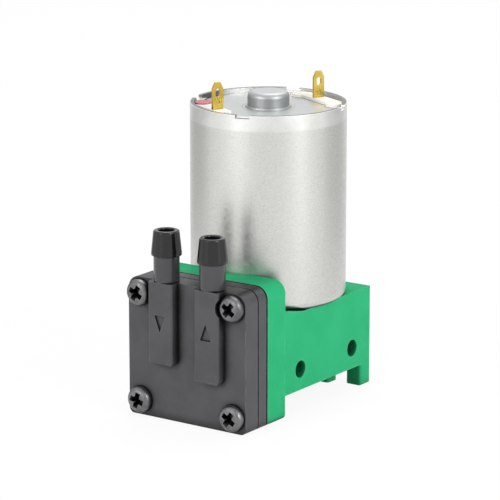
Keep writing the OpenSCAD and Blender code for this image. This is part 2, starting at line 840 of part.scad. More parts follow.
// Spring clip that spreads the magnets against the can
module magnet_clip() {
    end_l = 1;
    color(steel) at_motor(magnet_z + end_l) linear_extrude(magnet_l - 2 * end_l)
        rotate(180) arc_outline(can_in - 0.5, can_in, 180 - magnet_angle);
}

// Laminated core with three poles
module armature_core() {
    color(dark_steel) at_motor(core_z) linear_extrude(core_l) difference() {
        union() {
            circle(core_hub_r);
            for (turn = [0, 120, 240]) rotate(turn + 90) {
                translate([0, -arm_w / 2]) square([armature_r - shoe_t / 2, arm_w]);
                arc_outline(armature_r - shoe_t, armature_r, 104);
            }
        }
        circle(shaft_r);
    }
}

// Copper coil round each pole's arm
module windings() {
    coil_w = 5.6;
    coil_low = 3.3;
    coil_l = sqrt(pow(armature_r - shoe_t, 2) - pow(coil_w / 2, 2)) - seat_gap - coil_low;
    color(copper) at_motor(core_z) for (turn = [0, 120, 240])
        rotate([0, 0, turn + 90]) translate([coil_low, 0, 0]) difference() {
            translate([0, -coil_w / 2, -coil_over]) cube([coil_l, coil_w, core_l + 2 * coil_over]);
            translate([-over, -arm_w / 2, 0]) cube([coil_l + 2 * over, arm_w, core_l]);
        }
}

// Commutator of three segments on an insulating sleeve
module commutator() {
    color(copper) at_motor(commutator_z) difference() {
        union() {
            cylinder(r = commutator_r, h = commutator_l);
            cylinder(r = commutator_r + 0.8, h = 0.6);
        }
        translate([0, 0, -over]) cylinder(r = shaft_r, h = commutator_l + 2 * over);
        for (turn = [0, 120, 240]) rotate([0, 0, turn])
            translate([shaft_r + 0.8, -0.15, -over]) cube([commutator_r, 0.3, commutator_l + 2 * over]);
    }
}

// Fibre washers on the shaft at both ends of the rotor
module shaft_washers() {
    top_z = rear_bush_low - 0.6;
    color(cream) at_motor() for (z = [bush_top + 0.1, top_z]) translate([0, 0, z]) difference() {
        cylinder(r = bush_r - 0.1, h = 0.4);
        translate([0, 0, -over]) cylinder(r = shaft_r, h = 2);
    }
}

// Sheet steel end bell with the boss of the rear bearing
module end_bell() {
    round_r = 0.9;
    color(grey) at_motor(bell_z) difference() {
        union() {
            translate([0, 0, -bell_t]) cylinder(r = can_in, h = bell_t);
            cylinder(r = boss_r + 0.35, h = 0.25);
            rotate_extrude() union() {
                square([boss_r, boss_h - round_r]);
                square([boss_r - round_r, boss_h]);
                translate([boss_r - round_r, boss_h - round_r]) circle(round_r);
            }
        }
        translate([0, 0, -bell_t - over]) cylinder(r = bush_r, h = bell_t + boss_h - 0.5 + over);
        for (turn = [0, 180]) rotate([0, 0, terminal_angle + turn])
            translate([terminal_r - slot_l / 2, -slot_w / 2, -bell_t - over])
                cube([slot_l, slot_w, bell_t + 2 * over]);
    }
}

module rear_bearing() {
    color(brass) at_motor(rear_bush_low) difference() {
        cylinder(r = bush_r, h = rear_bush_top - rear_bush_low);
        translate([0, 0, -over])
            cylinder(r = shaft_r + run_gap, h = rear_bush_top - rear_bush_low + 2 * over);
    }
}

// Insulating board under the end bell that carries the brush arms
module brush_plate() {
    color([0.45, 0.30, 0.18]) at_motor(board_z) difference() {
        cylinder(r = can_in - 0.1, h = board_t);
        translate([0, 0, -over]) cylinder(r = commutator_r + 0.6, h = board_t + 2 * over);
        for (turn = [0, 180]) rotate([0, 0, terminal_angle + turn])
            translate([terminal_r - terminal_w / 2, -terminal_t / 2, -over])
                cube([terminal_w, terminal_t, board_t + 2 * over]);
    }
}

module brush_arms() {
    strip_w = brush_w + 0.4;
    leg_x = commutator_r + 0.05 + brush_l;
    color(brass) at_motor() for (turn = [0, 180]) rotate([0, 0, terminal_angle + turn]) union() {
        translate([leg_x, -strip_w / 2, board_z - arm_t])
            cube([terminal_r + terminal_w / 2 + 0.2 - leg_x, strip_w, arm_t]);
        translate([leg_x, -strip_w / 2, brush_z - 1.2]) cube([arm_t, strip_w, board_z - brush_z + 1.2]);
    }
}

module brushes() {
    color(rubber) at_motor(brush_z) for (turn = [0, 180]) rotate([0, 0, terminal_angle + turn])
        difference() {
            translate([0, -brush_w / 2, -brush_w / 2])
                cube([commutator_r + 0.05 + brush_l, brush_w, brush_w]);
            translate([0, 0, -brush_w]) cylinder(r = commutator_r + 0.05, h = 2 * brush_w);
        }
}

// Flat terminal with a wire hole and a chamfered tip
module terminal(turn) {
    tip = 0.5;
    half = terminal_w / 2;
    low = board_z;
    color(brass) at_motor() rotate([0, 0, terminal_angle + turn])
        translate([terminal_r, terminal_t / 2, 0]) rotate([90, 0, 0]) linear_extrude(terminal_t)
            difference() {
                polygon([[-half, low], [half, low], [half, terminal_top - 2 * tip],
                         [half - tip, terminal_top], [-half + tip, terminal_top],
                         [-half, terminal_top - 2 * tip]]);
                translate([0, terminal_top - 1.5]) circle(0.42);
            }
}

module terminal_left() {
    terminal(180);
}

module terminal_right() {
    terminal(0);
}

// Fibre insulator that lines a terminal's slot and lies on the end bell, with a lobe at each end
module insulator(turn, shade) {
    strip_w = slot_l - 2 * seat_gap;
    color(shade) at_motor(bell_z) rotate([0, 0, terminal_angle + turn]) difference() {
        union() {
            translate([terminal_r - slot_l / 2 + seat_gap, -slot_w / 2 + seat_gap, -bell_t])
                cube([slot_l - 2 * seat_gap, slot_w - 2 * seat_gap, bell_t + washer_t]);
            intersection() {
                linear_extrude(washer_t) union() {
                    translate([terminal_r - strip_w / 2, -lobe_far])
                        square([strip_w, lobe_far + lobe_near]);
                    translate([lobe_ring, lobe_near]) circle(lobe_r);
                    translate([lobe_ring, -lobe_far]) circle(lobe_r);
                }
                cylinder(r = can_in - 0.1, h = washer_t);
            }
        }
        translate([terminal_r - terminal_w / 2, -terminal_t / 2, -bell_t - over])
            cube([terminal_w, terminal_t, bell_t + washer_t + 2 * over]);
    }
}

module insulator_left() {
    insulator(180, white);
}

module insulator_right() {
    insulator(0, cream);
}

// Red washer on the far lobe of the left insulator
module polarity_washer() {
    color([0.80, 0.20, 0.25]) at_motor(bell_z + washer_t) rotate([0, 0, terminal_angle + 180])
        intersection() {
            translate([lobe_ring, -lobe_far, 0]) cylinder(r = lobe_r, h = washer_t / 2);
            cylinder(r = can_in - 0.1, h = washer_t);
        }
}

pump_body();
bottom_cover();
valve_plate();
head_cover();
cover_seal();
head_screws();
inlet_barb();
outlet_barb();
inlet_valve();
outlet_valve();
diaphragm();
clamp_disc();
clamp_screw();
connecting_rod();
bearing_outer_ring();
bearing_inner_ring();
bearing_balls();
bearing_cage();
eccentric();
motor_shaft();
motor_can();
motor_screws();
drive_end_bearing();
magnets();
magnet_clip();
armature_core();
windings();
commutator();
shaft_washers();
end_bell();
rear_bearing();
brush_plate();
brushes();
brush_arms();
terminal_left();
terminal_right();
insulator_left();
insulator_right();
polarity_washer();
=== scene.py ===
"""Looks of a mini diaphragm pump: moulded body, square head, hose barbs and an upright motor."""

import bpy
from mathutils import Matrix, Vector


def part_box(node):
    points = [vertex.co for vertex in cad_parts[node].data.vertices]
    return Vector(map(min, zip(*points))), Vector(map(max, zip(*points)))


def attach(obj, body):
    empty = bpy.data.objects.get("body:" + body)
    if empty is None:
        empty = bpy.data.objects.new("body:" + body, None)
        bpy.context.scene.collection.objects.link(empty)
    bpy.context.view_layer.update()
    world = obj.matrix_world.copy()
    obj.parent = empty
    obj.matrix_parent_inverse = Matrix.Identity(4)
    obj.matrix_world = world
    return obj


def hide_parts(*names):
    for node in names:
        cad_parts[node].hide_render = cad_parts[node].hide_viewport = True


bl_info = {
    "name": "Mini Diaphragm Pump",
    "version": (1, 0, 0),
    "blender": (4, 5, 0),
    "location": "3D View > Sidebar > Pump",
    "description": "Dresses the packed pump with rounded mouldings, procedural finishes and a studio",
    "category": "Object",
}

from math import cos, pi, radians, sin

import bmesh
import bpy
from bpy.props import FloatProperty, FloatVectorProperty, IntProperty, PointerProperty
from mathutils import Matrix, Vector

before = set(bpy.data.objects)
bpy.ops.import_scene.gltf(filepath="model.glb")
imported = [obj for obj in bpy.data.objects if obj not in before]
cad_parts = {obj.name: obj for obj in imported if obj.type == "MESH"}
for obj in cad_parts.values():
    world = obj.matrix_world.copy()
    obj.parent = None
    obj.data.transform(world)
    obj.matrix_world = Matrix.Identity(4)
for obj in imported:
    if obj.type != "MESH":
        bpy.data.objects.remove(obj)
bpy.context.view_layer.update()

MM = 0.001
FRAME_BODY = "pump_frame"
SHARP_ANGLE = radians(32)
SAME_SURFACE = cos(radians(40))
FLAT_ANGLE = radians(0.6)
MERGE_DISTANCE = 1e-6
NEAR = 0.01 * MM

CAN_LOW, CAN_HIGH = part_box("motor_can")
CAN_RADIUS = (CAN_HIGH.x - CAN_LOW.x) / 2
CAN_LENGTH = 30.8 * MM
MOTOR_Y = (CAN_LOW.y + CAN_HIGH.y) / 2
RIM_Z = CAN_HIGH.z
SEAT_Z = RIM_Z - CAN_LENGTH
BELL_Z = RIM_Z - 0.8 * MM
BOSS_RADIUS = 3.25 * MM
TERMINAL_TURN = radians(66.6)

COVER_LOW, COVER_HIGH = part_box("head_cover")
TOP_CORNER, FOOT_CORNER = 2.0 * MM, 0.9 * MM
CHANNEL_PROUD = 1.7 * MM
FLANGE_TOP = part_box("pump_body")[1].z
FLANGE_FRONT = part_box("pump_body")[0].y
SHOULDER_HEIGHT = 4.1 * MM
BLOCK_SIDE = 10.6 * MM
RECESS_RIM = 1.85 * MM


def colour(name, description, default):
    return FloatVectorProperty(name=name, description=description, subtype="COLOR", default=default, min=0,
                               max=1)


def length(name, description, millimetres):
    return FloatProperty(name=name, description=description, default=millimetres * MM, min=0, unit="LENGTH",
                         precision=5)


def strength(name, description, default):
    return FloatProperty(name=name, description=description, default=default, min=0)


class PumpColours(bpy.types.PropertyGroup):
    """Colours of the pump's own finishes."""

    body: colour("Body", "Colour of the moulded body", (0.012, 0.405, 0.163))
    head: colour("Head", "Colour of the head's plastic", (0.046, 0.046, 0.050))
    can: colour("Can", "Colour of the can's nickel", (0.665, 0.665, 0.64))
    bell: colour("End bell", "Colour of the end bell's plating", (0.46, 0.475, 0.475))
    brass: colour("Brass", "Colour of the solder terminals", (0.73, 0.53, 0.105))
    screw: colour("Screws", "Colour of the blackened screws", (0.21, 0.21, 0.215))


class PumpSizes(bpy.types.PropertyGroup):
    """Sizes of the details that the frame leaves to the looks."""

    moulded_edge: length("Moulded edge", "Rounding of the moulded edges", 0.22)
    cover_edge: length("Cover edge", "Rounding round the front of the head cover", 0.45)
    channel_corner: length("Channel corner", "Rounding of the channels' lower corners", 0.55)
    plate_edge: length("Plate edge", "Rounding of the valve plate's edges", 0.05)
    front_seam: length("Front seam", "Width of the groove between cover and valve plate", 0.22)
    rear_seam: length("Rear seam", "Width of the groove between valve plate and flange", 0.30)
    seam_depth: length("Seam depth", "Depth of both grooves", 0.55)
    metal_edge: length("Metal edge", "Rounding of edges on metal pieces", 0.06)
    rim_edge: length("Rim edge", "Rounding of the can's rim", 0.1)
    mark_width: length("Flow mark width", "Width of the engraved flow triangles", 2.0)
    mark_height: length("Flow mark height", "Height of the engraved flow triangles", 2.6)
    mark_depth: length("Flow mark depth", "Depth of the engraved flow triangles", 0.28)
    band_height: length("Rim band", "Height of the paler band under the can's rim", 2.4)
    turns: IntProperty(name="Turned steps", description="Steps round a turned piece", default=128, min=16)


class PumpStage(bpy.types.PropertyGroup):
    """Camera and light."""

    azimuth: FloatProperty(name="Azimuth", description="Angle of the camera round the pump", subtype="ANGLE",
                           default=radians(35.17))
    elevation: FloatProperty(name="Elevation", description="Angle of the camera above the floor",
                             subtype="ANGLE", default=radians(14.0))
    distance: length("Distance", "Distance of the camera from its target", 458.4)
    lens: FloatProperty(name="Lens", description="Focal length of the camera in millimetres", default=216,
                        min=1)
    target: FloatVectorProperty(name="Target", description="Point in the middle of the picture",
                                subtype="TRANSLATION", default=(4.75 * MM, -6.35 * MM, 26.06 * MM))
    sky: strength("Sky", "Strength of the surrounding light", 0.52)
    key: strength("Key", "Power of the lamp on the right, in watts", 1.9)
    fill: strength("Fill", "Power of the lamp on the left, in watts", 1.7)
    top: strength("Top", "Power of the lamp above, in watts", 1.8)


# Node helpers

def add(tree, kind, place=(0, 0), **values):
    """Node at a place in the editor, with its properties or inputs set."""
    node = tree.nodes.new(kind)
    node.location = place
    for key, value in values.items():
        if hasattr(node, key):
            setattr(node, key, value)
        else:
            node.inputs[key].default_value = value
    return node


def feed(tree, value, entry):
    """Gives an input a number, or the value of another node's output."""
    if isinstance(value, bpy.types.NodeSocket):
        tree.links.new(value, entry)
    else:
        entry.default_value = value


def math_node(tree, operation, *values):
    """Result of a sum on numbers or sockets."""
    node = add(tree, "ShaderNodeMath", operation=operation)
    for index, value in enumerate(values):
        feed(tree, value, node.inputs[index])
    return node.outputs[0]


def ramp(tree, value, low, high, to_low=0.0, to_high=1.0):
    """Smooth step of a value between low and high."""
    node = add(tree, "ShaderNodeMapRange", interpolation_type="SMOOTHSTEP")
    for name, number in (("Value", value), ("From Min", low), ("From Max", high), ("To Min", to_low),
                         ("To Max", to_high)):
        feed(tree, number, node.inputs[name])
    return node.outputs["Result"]


def noise(tree, vector, scale, detail, roughness=0.5, place=(-300, -250)):
    """Noise texture whose scale is a number or a socket."""
    node = add(tree, "ShaderNodeTexNoise", place, Detail=detail, Roughness=roughness)
    tree.links.new(vector, node.inputs["Vector"])
    feed(tree, scale, node.inputs["Scale"])
    return node.outputs["Fac"]


def shared_group(name, numbers, outputs, fill):
    """Node group with a Vector input, number inputs and number outputs, filled on its first use."""
    tree = bpy.data.node_groups.get(name)
    if tree is None:
        tree = bpy.data.node_groups.new(name, "ShaderNodeTree")
        tree.interface.new_socket(name="Vector", in_out="INPUT", socket_type="NodeSocketVector")
        for label, default in numbers.items():
            made = tree.interface.new_socket(name=label, in_out="INPUT", socket_type="NodeSocketFloat")
            made.default_value = default
        for label in outputs:
            tree.interface.new_socket(name=label, in_out="OUTPUT", socket_type="NodeSocketFloat")
        source = add(tree, "NodeGroupInput", (-800, 0)).outputs
        result = add(tree, "NodeGroupOutput", (600, 0)).inputs
        for label, value in fill(tree, source).items():
            tree.links.new(value, result[label])
    return tree


def grain_group():
    """Fine moulded or cast grain: a height for the bump and a cloud that varies the gloss."""
    def fill(tree, source):
        return {"Height": noise(tree, source["Vector"], source["Fine Scale"], 3.0, 0.55, (-300, 120)),
                "Cloud": noise(tree, source["Vector"], source["Broad Scale"], 4.0, 0.6, (-300, -120))}
    return shared_group("Surface Grain", {"Fine Scale": 6000, "Broad Scale": 220}, ("Height", "Cloud"), fill)


def edge_group():
    """Mask of worn edges: 1 where a wide bevel would bend the surface away from its own normal."""
    def fill(tree, source):
        bevel = add(tree, "ShaderNodeBevel", (-500, 100), samples=4)
        geometry = add(tree, "ShaderNodeNewGeometry", (-500, -100))
        facing = add(tree, "ShaderNodeVectorMath", (-300, 0), operation="DOT_PRODUCT")
        tree.links.new(source["Radius"], bevel.inputs["Radius"])
        tree.links.new(bevel.outputs["Normal"], facing.inputs[0])
        tree.links.new(geometry.outputs["Normal"], facing.inputs[1])
        bend = ramp(tree, facing.outputs["Value"], 0.995, 0.90)
        patches = ramp(tree, noise(tree, source["Vector"], 900.0, 3.0), 0.35, 0.6)
        return {"Mask": math_node(tree, "MULTIPLY", bend, patches)}
    return shared_group("Edge Wear", {"Radius": 0.25 * MM}, ("Mask",), fill)


def crevice_group():
    """Mask of crevices for painted shade: 1 deep in a narrow corner and 0 in the open, with a slightly broken
    edge.
    """
    def fill(tree, source):
        sky = add(tree, "ShaderNodeAmbientOcclusion", (-500, 100), samples=8)
        tree.links.new(source["Reach"], sky.inputs["Distance"])
        closed = ramp(tree, sky.outputs["AO"], source["Open"], source["Closed"])
        broken = ramp(tree, noise(tree, source["Vector"], 1400.0, 2.0), 0.25, 0.55, 0.8, 1.0)
        return {"Mask": math_node(tree, "MULTIPLY", closed, broken)}
    return shared_group("Crevice Shade", {"Reach": 0.5 * MM, "Open": 0.72, "Closed": 0.30}, ("Mask",), fill)


def mottle_group():
    """Mottling of rolled and plated sheet: small soft patches, slightly drawn out round the can."""
    def fill(tree, source):
        squeeze = add(tree, "ShaderNodeMapping", (-500, 0), Scale=(0.7, 0.7, 1.3))
        tree.links.new(source["Vector"], squeeze.inputs["Vector"])
        speck_scale = math_node(tree, "MULTIPLY", source["Scale"], 4.0)
        return {"Patches": noise(tree, squeeze.outputs["Vector"], source["Scale"], 5.0, 0.65, (-100, 120)),
                "Specks": noise(tree, squeeze.outputs["Vector"], speck_scale, 2.0, 0.65, (-100, -160))}
    return shared_group("Sheet Mottle", {"Scale": 1500}, ("Patches", "Specks"), fill)


def darker(colour, share):
    return tuple(channel * share for channel in colour)


def lighter(colour, share):
    return tuple(channel + (1 - channel) * share for channel in colour)


class Finish:
    """One material: its Principled shader, Object coordinates, surface grain and the shared groups."""

    def __init__(self, name, colour, roughness, grain, metallic=0.0, specular=0.5):
        self.material = bpy.data.materials.new(name)
        self.material.use_nodes = True
        self.tree = self.material.node_tree
        self.shader = self.tree.nodes["Principled BSDF"]
        self.base = (*colour, 1.0)
        for key, value in (("Base Color", self.base), ("Roughness", roughness), ("Metallic", metallic),
                           ("Specular IOR Level", specular)):
            self.shader.inputs[key].default_value = value
        coordinates = add(self.tree, "ShaderNodeTexCoord", (-1200, 0))
        self.place, self.normal = coordinates.outputs["Object"], coordinates.outputs["Normal"]
        self.colour = None
        fine, broad = grain
        surface = self.group(grain_group(), Fine_Scale=fine, Broad_Scale=broad)
        self.height, self.cloud = surface["Height"], surface["Cloud"]

    def group(self, tree, **values):
        """Outputs of a shared group on this material's coordinates."""
        node = add(self.tree, "ShaderNodeGroup", (-900, 0))
        node.node_tree = tree
        self.tree.links.new(self.place, node.inputs["Vector"])
        for key, value in values.items():
            node.inputs[key.replace("_", " ")].default_value = value
        return node.outputs

    def ramp(self, *values):
        return ramp(self.tree, *values)

    def both(self, first, second):
        """Product of two masks."""
        return math_node(self.tree, "MULTIPLY", first, second)

    def between(self, value, start, full, fade, end):
        """Mask that rises from start to full and falls from fade to end."""
        return self.both(self.ramp(value, start, full), self.ramp(value, end, fade))

    def axes(self, vector):
        """X, Y and Z of a vector."""
        parts = add(self.tree, "ShaderNodeSeparateXYZ", (-900, 300))
        self.tree.links.new(vector, parts.inputs[0])
        return parts.outputs

    def facing_up(self):
        """Mask of the faces that look upwards."""
        return self.ramp(self.axes(self.normal)["Z"], 0.7, 0.95)

    def off_axis(self):
        """Distance from the motor's axis."""
        parts = self.axes(self.place)
        flat = add(self.tree, "ShaderNodeCombineXYZ", (-700, 400))
        self.tree.links.new(parts["X"], flat.inputs["X"])
        self.tree.links.new(math_node(self.tree, "SUBTRACT", parts["Y"], MOTOR_Y), flat.inputs["Y"])
        distance = add(self.tree, "ShaderNodeVectorMath", (-500, 400), operation="LENGTH")
        self.tree.links.new(flat.outputs[0], distance.inputs[0])
        return distance.outputs["Value"]

    def limb(self, start=0.7, end=0.95):
        """Mask of what is seen at a glancing angle."""
        weight = add(self.tree, "ShaderNodeLayerWeight", (-900, -900))
        return self.ramp(weight.outputs["Facing"], start, end)

    def dull(self, mask, loss):
        """Takes a share of the shine away where the mask is 1."""
        shine = self.shader.inputs["Specular IOR Level"]
        left = math_node(self.tree, "SUBTRACT", 1.0, self.both(mask, loss))
        self.tree.links.new(self.both(left, shine.default_value), shine)

    def tint(self, mask, colour, strength=1.0):
        """Mixes another colour in where the mask is 1."""
        mix = add(self.tree, "ShaderNodeMix", (-300, 200), data_type="RGBA")
        self.tree.links.new(self.both(mask, strength), mix.inputs["Factor"])
        feed(self.tree, self.colour or self.base, mix.inputs[6])
        mix.inputs[7].default_value = (*colour, 1.0)
        self.colour = mix.outputs[2]
        self.tree.links.new(self.colour, self.shader.inputs["Base Color"])

    def wear(self, radius, share, strength):
        """Lightens the worn edges by a share."""
        edge = self.group(edge_group(), Radius=radius)
        self.tint(edge["Mask"], lighter(self.base[:3], share), strength)

    def painted_shade(self, reach, share=0.25, strength=0.9, open_at=0.72, closed_at=0.30):
        """Paints shade into the crevices: darkens them to a share of the base colour."""
        crevice = self.group(crevice_group(), Reach=reach, Open=open_at, Closed=closed_at)
        self.tint(crevice["Mask"], darker(self.base[:3], share), strength)

    def gloss(self, low, high, mask=None):
        """Roughness runs from low to high with the cloud, or with another mask."""
        self.tree.links.new(self.ramp(mask or self.cloud, 0.3, 0.7, low, high), self.shader.inputs["Roughness"])

    def bump(self, strength, distance, height=None):
        """Relief of the grain, or of another height; gives the finished material."""
        node = add(self.tree, "ShaderNodeBump", (-200, -300), Strength=strength, Distance=distance)
        self.tree.links.new(height or self.height, node.inputs["Height"])
        self.tree.links.new(node.outputs["Normal"], self.shader.inputs["Normal"])
        return self.material


def body_plastic(colours):
    """Satin green moulding with a slight cloud in its gloss, and painted shade under the block and in its
    crevices.
    """
    finish = Finish("Green Moulding", colours.body, 0.55, grain=(5200, 180), specular=0.18)
    place = finish.axes(finish.place)
    across = math_node(finish.tree, "ABSOLUTE", place["X"])
    # Painted shade under the block: the body's lowest part inboard of its sides.
    under = finish.both(finish.ramp(across, BLOCK_SIDE - 0.1 * MM, BLOCK_SIDE - 0.4 * MM),
                        finish.ramp(place["Z"], 3.4 * MM, 3.0 * MM))
    finish.tint(finish.ramp(finish.cloud, 0.35, 0.65), darker(colours.body, 0.86), 0.5)
    finish.wear(0.3 * MM, 0.25, 0.45)
    finish.tint(under, darker(colours.body, 0.4), 0.8)
    # Painted shade: a wide reach for the faces under and beside the block, then a narrow one for the crevices.
    finish.painted_shade(3.5 * MM, 0.10, 0.9, 0.74, 0.22)
    finish.painted_shade(0.5 * MM, 0.3, 0.7)
    finish.dull(finish.facing_up(), 0.6)
    finish.gloss(0.50, 0.62)
    return finish.bump(0.12, 0.02 * MM)


def head_plastic(colours):
    """Matt black moulding with fine spark-eroded grain, duller on top towards the right, with painted shade
    there and in its crevices.
    """
    finish = Finish("Black Moulding", colours.head, 0.42, grain=(7000, 240), specular=0.45)
    rightward = finish.ramp(finish.axes(finish.place)["X"], -2 * MM, 3 * MM, 0.2, 0.9)
    top = finish.both(finish.facing_up(), rightward)
    finish.tint(finish.ramp(finish.cloud, 0.35, 0.65), lighter(colours.head, 0.02), 0.6)
    finish.wear(0.25 * MM, 0.12, 0.5)
    # Painted shade on the top faces, deeper towards the right.
    finish.tint(top, darker(colours.head, 0.15))
    finish.dull(top, 0.8)
    # Painted shade beside the channels, then in the seams and recesses.
    finish.painted_shade(2.0 * MM, 0.1, 1.0, 0.94, 0.55)
    finish.painted_shade(0.6 * MM, 0.05, 1.0, 0.80, 0.40)
    finish.gloss(0.38, 0.48)
    return finish.bump(0.15, 0.02 * MM)


def barb_plastic(colours):
    """Smooth black moulding of the barbs, darker on the cone above the stem, with a painted dark reflection
    towards the outline and painted shade in its crevices.
    """
    finish = Finish("Barb Moulding", darker(colours.head, 0.95), 0.15, grain=(7000, 300), specular=0.48)
    shoulder = FLANGE_TOP + SHOULDER_HEIGHT
    cone = finish.ramp(finish.axes(finish.place)["Z"], shoulder - 0.1 * MM, shoulder)
    limb = finish.limb()
    finish.tint(finish.ramp(finish.cloud, 0.35, 0.65), lighter(finish.base[:3], 0.01), 0.6)
    finish.tint(cone, darker(colours.head, 0.1), 0.97)
    # Painted dark reflection towards the outline.
    finish.tint(limb, darker(colours.head, 0.1), 0.9)
    finish.dull(limb, 0.9)
    # Painted shade in the crevices.
    finish.painted_shade(0.45 * MM, 0.1, 0.9)
    finish.gloss(0.12, 0.18)
    return finish.bump(0.12, 0.02 * MM)


def can_nickel(colours, sizes):
    """Satin nickel plating: mottled, with a paler band under the rim, painted shade on the inner wall and lip,
    and painted light on the back of the inner wall.
    """
    finish = Finish("Can Nickel", colours.can, 0.36, grain=(2600, 140), metallic=1.0)
    mottle = finish.group(mottle_group(), Scale=1300)
    place, off_axis = finish.axes(finish.place), finish.off_axis()
    band_edge = RIM_Z - sizes.band_height
    band = finish.both(finish.ramp(place["Z"], band_edge - 0.25 * MM, band_edge + 0.25 * MM),
                       finish.ramp(finish.cloud, 0.35, 0.60, 1.0, 0.45))
    # Painted shade on the inner wall of the rim.
    painted_shade_inside = finish.both(finish.ramp(off_axis, CAN_RADIUS - 0.16 * MM, CAN_RADIUS - 0.26 * MM),
                         finish.ramp(finish.axes(finish.normal)["Z"], 0.7, 0.3))
    # Painted light on the back part of the inner wall.
    painted_light_back_wall = finish.both(painted_shade_inside, finish.ramp(place["Y"], MOTOR_Y + 1.5 * MM, MOTOR_Y + 4 * MM))
    # Painted shadow along the inner edge of the rim's top.
    lip = finish.both(finish.ramp(off_axis, CAN_RADIUS - 0.06 * MM, CAN_RADIUS - 0.16 * MM),
                      finish.ramp(place["Z"], RIM_Z - 0.12 * MM, RIM_Z - 0.04 * MM))
    finish.tint(finish.ramp(mottle["Patches"], 0.35, 0.7), darker(colours.can, 0.88), 0.7)
    finish.tint(finish.ramp(finish.cloud, 0.35, 0.7), darker(colours.can, 0.93), 0.5)
    finish.tint(finish.ramp(mottle["Specks"], 0.46, 0.64), darker(colours.can, 0.80), 0.75)
    finish.tint(band, lighter(colours.can, 0.55), 0.65)
    finish.tint(painted_shade_inside, darker(colours.can, 0.15), 0.9)
    finish.tint(lip, darker(colours.can, 0.2), 0.9)
    # Painted shade in the crevices.
    finish.painted_shade(0.9 * MM, 0.18, 0.9)
    # Painted light on the back part of the inner wall.
    finish.tint(painted_light_back_wall, lighter(colours.can, 0.2), 0.75)
    finish.gloss(0.32, 0.42, mottle["Patches"])
    return finish.bump(0.10, 0.01 * MM, mottle["Specks"])


def bell_plating(colours):
    """Dull plating with painted shade on the side of the boss, a turned ring round it and painted shade in its
    crevices.
    """
    finish = Finish("End Bell Plating", colours.bell, 0.48, grain=(4000, 500), metallic=1.0)
    height, off_axis = finish.axes(finish.place)["Z"], finish.off_axis()
    # Painted shade on the side of the boss, deeper at its outline.
    side = finish.between(off_axis, BOSS_RADIUS - 0.35 * MM, BOSS_RADIUS - 0.1 * MM,
                          BOSS_RADIUS + 0.04 * MM, BOSS_RADIUS + 0.12 * MM)
    ring = finish.between(off_axis, BOSS_RADIUS + 0.80 * MM, BOSS_RADIUS + 0.87 * MM,
                          BOSS_RADIUS + 0.90 * MM, BOSS_RADIUS + 0.97 * MM)
    flat_ring = finish.both(ring, finish.ramp(height, BELL_Z + 0.2 * MM, BELL_Z))
    finish.tint(finish.ramp(finish.cloud, 0.35, 0.7), darker(colours.bell, 0.93), 0.6)
    finish.tint(side, darker(colours.bell, 0.77))
    finish.tint(finish.both(side, finish.limb(0.75, 0.97)), darker(colours.bell, 0.2), 0.8)
    finish.tint(flat_ring, darker(colours.bell, 0.35), 0.6)
    # Painted shade in the crevices.
    finish.painted_shade(0.7 * MM, 0.15, 0.9)
    finish.gloss(0.46, 0.50)
    return finish.bump(0.08, 0.01 * MM)


def plain_metal(name, colour, roughness, cloud=0.25, fine=4000, wear=0.3, painted_shade=(0.7 * MM, 0.15, 0.9),
                relief=0.08):
    """Metal with a soft cloud of tarnish, fine grain, bright edges and painted shade in its crevices."""
    finish = Finish(name, colour, roughness, grain=(fine, 500), metallic=1.0)
    finish.tint(finish.ramp(finish.cloud, 0.35, 0.7), darker(colour, 1 - cloud), 0.8)
    finish.wear(0.12 * MM, 0.35, wear)
    # Painted shade in the crevices.
    finish.painted_shade(*painted_shade)
    finish.gloss(roughness * 0.85, roughness * 1.2)
    return finish.bump(relief, 0.01 * MM)


def plain_matt(name, colour, roughness, relief=0.3):
    """Fibre, rubber, carbon or board: matt, grained, slightly clouded and with painted shade in its crevices.
    """
    finish = Finish(name, colour, roughness, grain=(3000, 600))
    finish.tint(finish.ramp(finish.cloud, 0.3, 0.7), darker(colour, 0.82), 0.6)
    # Painted shade in the crevices.
    finish.painted_shade(0.3 * MM, 0.45, 0.6)
    finish.gloss(roughness * 0.9, min(1.0, roughness * 1.1))
    return finish.bump(relief, 0.03 * MM)


# Mesh helpers

def even_shading(mesh):
    """Flat faces keep their own normal, and the rounded edges between them blend from one to the next."""
    touching = [[] for _ in mesh.vertices]
    for face in mesh.polygons:
        for corner in face.vertices:
            touching[corner].append((face.normal.copy(), face.area))
    normals = []
    for face in mesh.polygons:
        for corner in face.vertices:
            total = Vector()
            for normal, area in touching[corner]:
                if normal.dot(face.normal) > SAME_SURFACE:
                    total += normal * area
            normals.append(total.normalized() if total.length > 0 else face.normal)
    mesh.normals_split_custom_set(normals)


def mesh_object(name, shape):
    """Writes a bmesh to a new object at the origin."""
    mesh = bpy.data.meshes.new(name)
    shape.to_mesh(mesh)
    shape.free()
    made = bpy.data.objects.new(name, mesh)
    bpy.context.scene.collection.objects.link(made)
    return made


def place_piece(name, shape, body, material, slot, replaced):
    """Makes a shape a shaded piece that rides on a body in the place of CAD nodes."""
    piece = mesh_object(name, shape)
    piece.data.materials.append(bpy.data.materials[material])
    piece.data.shade_smooth()
    even_shading(piece.data)
    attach(piece, body)
    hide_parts(*replaced)


def joined_copy(node):
    """Copy of a CAD node with its loose triangles joined."""
    shape = bmesh.new()
    shape.from_mesh(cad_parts[node].data)
    bmesh.ops.remove_doubles(shape, verts=shape.verts, dist=MERGE_DISTANCE)
    return shape


def whole_faces(shape):
    """Makes the flat faces of a joined copy whole again."""
    bmesh.ops.dissolve_limit(shape, angle_limit=FLAT_ANGLE, verts=shape.verts, edges=shape.edges,
                             use_dissolve_boundaries=False, delimit={"NORMAL"})
    return shape


